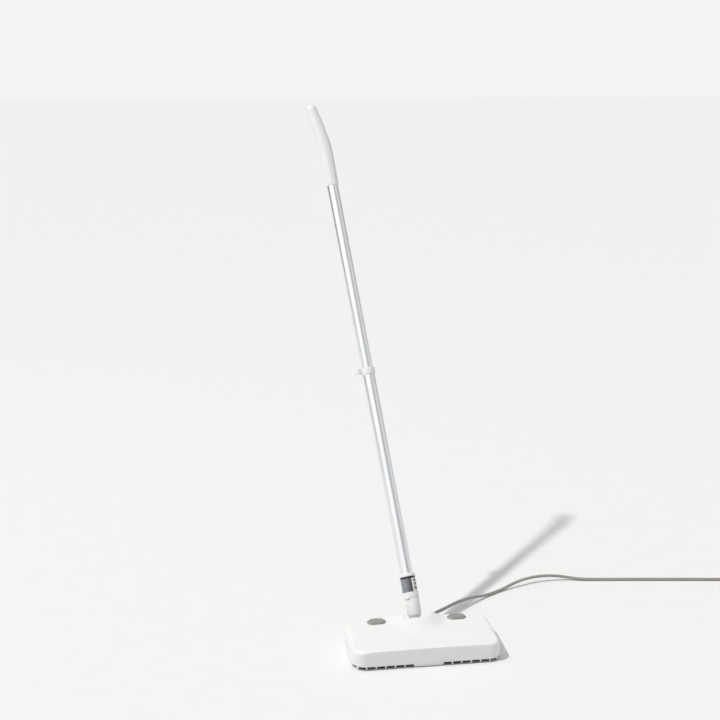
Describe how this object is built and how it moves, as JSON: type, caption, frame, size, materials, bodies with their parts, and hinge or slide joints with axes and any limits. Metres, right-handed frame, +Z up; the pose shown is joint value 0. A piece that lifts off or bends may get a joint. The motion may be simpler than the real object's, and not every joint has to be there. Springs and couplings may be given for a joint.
{
  "type": "steam mop",
  "caption": "Flat steam mop head on a pad, with a two-way neck joint, a telescopic pole, a bent handle, a foot switch, a filler cap and a coiled mains lead.",
  "frame": {"origin": "on the floor, under the middle of the head, at the underside of the mop pad", "axes": "+Z up, +X to the right of the head seen from its front, +Y to the rear, where the neck and the lead come out"},
  "size_m": [1.1097, 0.712, 1.1236],
  "materials": {
    "white_shell": "satin moulded plastic, fine texture",
    "white_pole_parts": "satin moulded plastic",
    "chassis_white": "satin moulded plastic",
    "sole_dark": "dark hard-anodised cast aluminium",
    "pad_fabric": "microfibre pile",
    "hook_tape": "hook tape",
    "oval_grey": "matt warm grey plastic",
    "seal_rubber": "soft silicone",
    "tank_clear": "translucent plastic",
    "cast_metal": "cast aluminium",
    "dark_plastic": "matt black plastic",
    "hose_silicone": "silicone hose",
    "ceramic": "glazed ceramic",
    "board_green": "glass-fibre board",
    "joint_plastic": "glass-filled nylon",
    "steel": "zinc-plated steel",
    "tube_aluminium": "satin anodised tube",
    "label_print": null,
    "lead_grey": "matt grey PVC sheath",
    "tie_fabric": "hook and loop strap",
    "plug_grey": "moulded grey PVC",
    "pin_brass": "nickel-plated brass"
  },
  "bodies": {
    "head": {"top_shell": "white_shell", "chassis": "chassis_white", "sole_plate": "sole_dark", "hook_strips": "hook_tape", "mop_pad": "pad_fabric", "case_screws": "steel", "sole_screws": "steel", "water_tank": "tank_clear", "pump": "dark_plastic", "suction_hose": "hose_silicone", "feed_hose": "hose_silicone", "heater_block": "cast_metal", "thermostat": "ceramic", "steam_nozzle": "cast_metal", "control_board": "board_green", "micro_switch": "dark_plastic", "joint_brackets": "joint_plastic", "bracket_screws": "steel", "pedal_spring": "steel", "cap_hinge_pin": "steel", "strain_relief": "lead_grey", "lead_tube": "lead_grey", "lead_coil": "lead_grey", "lead_tie": "tie_fabric", "plug_body": "plug_grey", "plug_pins": "pin_brass"},
    "foot_pedal": {"pedal_cap": "oval_grey"},
    "cap": {"filler_cap": "oval_grey", "cap_gasket": "seal_rubber"},
    "yoke": {"tilt_yoke": "joint_plastic", "lean_pin": "steel"},
    "pole": {"neck_socket": "white_pole_parts", "pole_collar": "white_pole_parts", "label_band": "label_print", "button_spring": "steel", "lower_tube": "tube_aluminium", "clip_collar": "white_pole_parts", "lever_pin": "steel"},
    "button": {"release_button": "white_pole_parts"},
    "lever": {"clip_lever": "white_pole_parts"},
    "upper_pole": {"upper_tube": "tube_aluminium", "slide_bush": "dark_plastic", "handle_front": "white_pole_parts", "handle_rear": "white_pole_parts", "handle_screws": "steel"}
  },
  "joints": [
    {"name": "neck_tilt", "type": "hinge", "parent": "head", "child": "yoke", "pos_m": [0, 0.062, 0.03], "axis": [-1, 0, 0], "range_deg": [-27.3, 47.7]},
    {"name": "neck_lean", "type": "hinge", "parent": "yoke", "child": "pole", "pos_m": [0, 0.062, 0.03], "axis": [0, 0.8886, -0.4586], "range_deg": [-18.45, 31.55]},
    {"name": "telescope", "type": "slide", "parent": "pole", "child": "upper_pole", "axis": [-0.1141, 0.4557, 0.8828], "range_m": [-0.36, 0]},
    {"name": "lever_open", "type": "hinge", "parent": "pole", "child": "lever", "pos_m": [-0.0847, 0.32313, 0.53594], "axis": [0, 0.8886, -0.4586], "range_deg": [0, 75]},
    {"name": "button_press", "type": "slide", "parent": "pole", "child": "button", "axis": [0.6386, 0.7143, -0.2862], "range_m": [0, 0.002], "stiffness_N_per_m": 500, "springref_m": -0.002, "deforming": ["button_spring"]},
    {"name": "pedal_press", "type": "slide", "parent": "head", "child": "foot_pedal", "axis": [0, 0, -1], "range_m": [0, 0.003], "stiffness_N_per_m": 800, "springref_m": -0.003, "deforming": ["pedal_spring"]},
    {"name": "cap_open", "type": "hinge", "parent": "head", "child": "cap", "pos_m": [-0.088, 0.0709, 0.0444], "axis": [-1, 0, 0], "range_deg": [0, 100]}
  ]
}
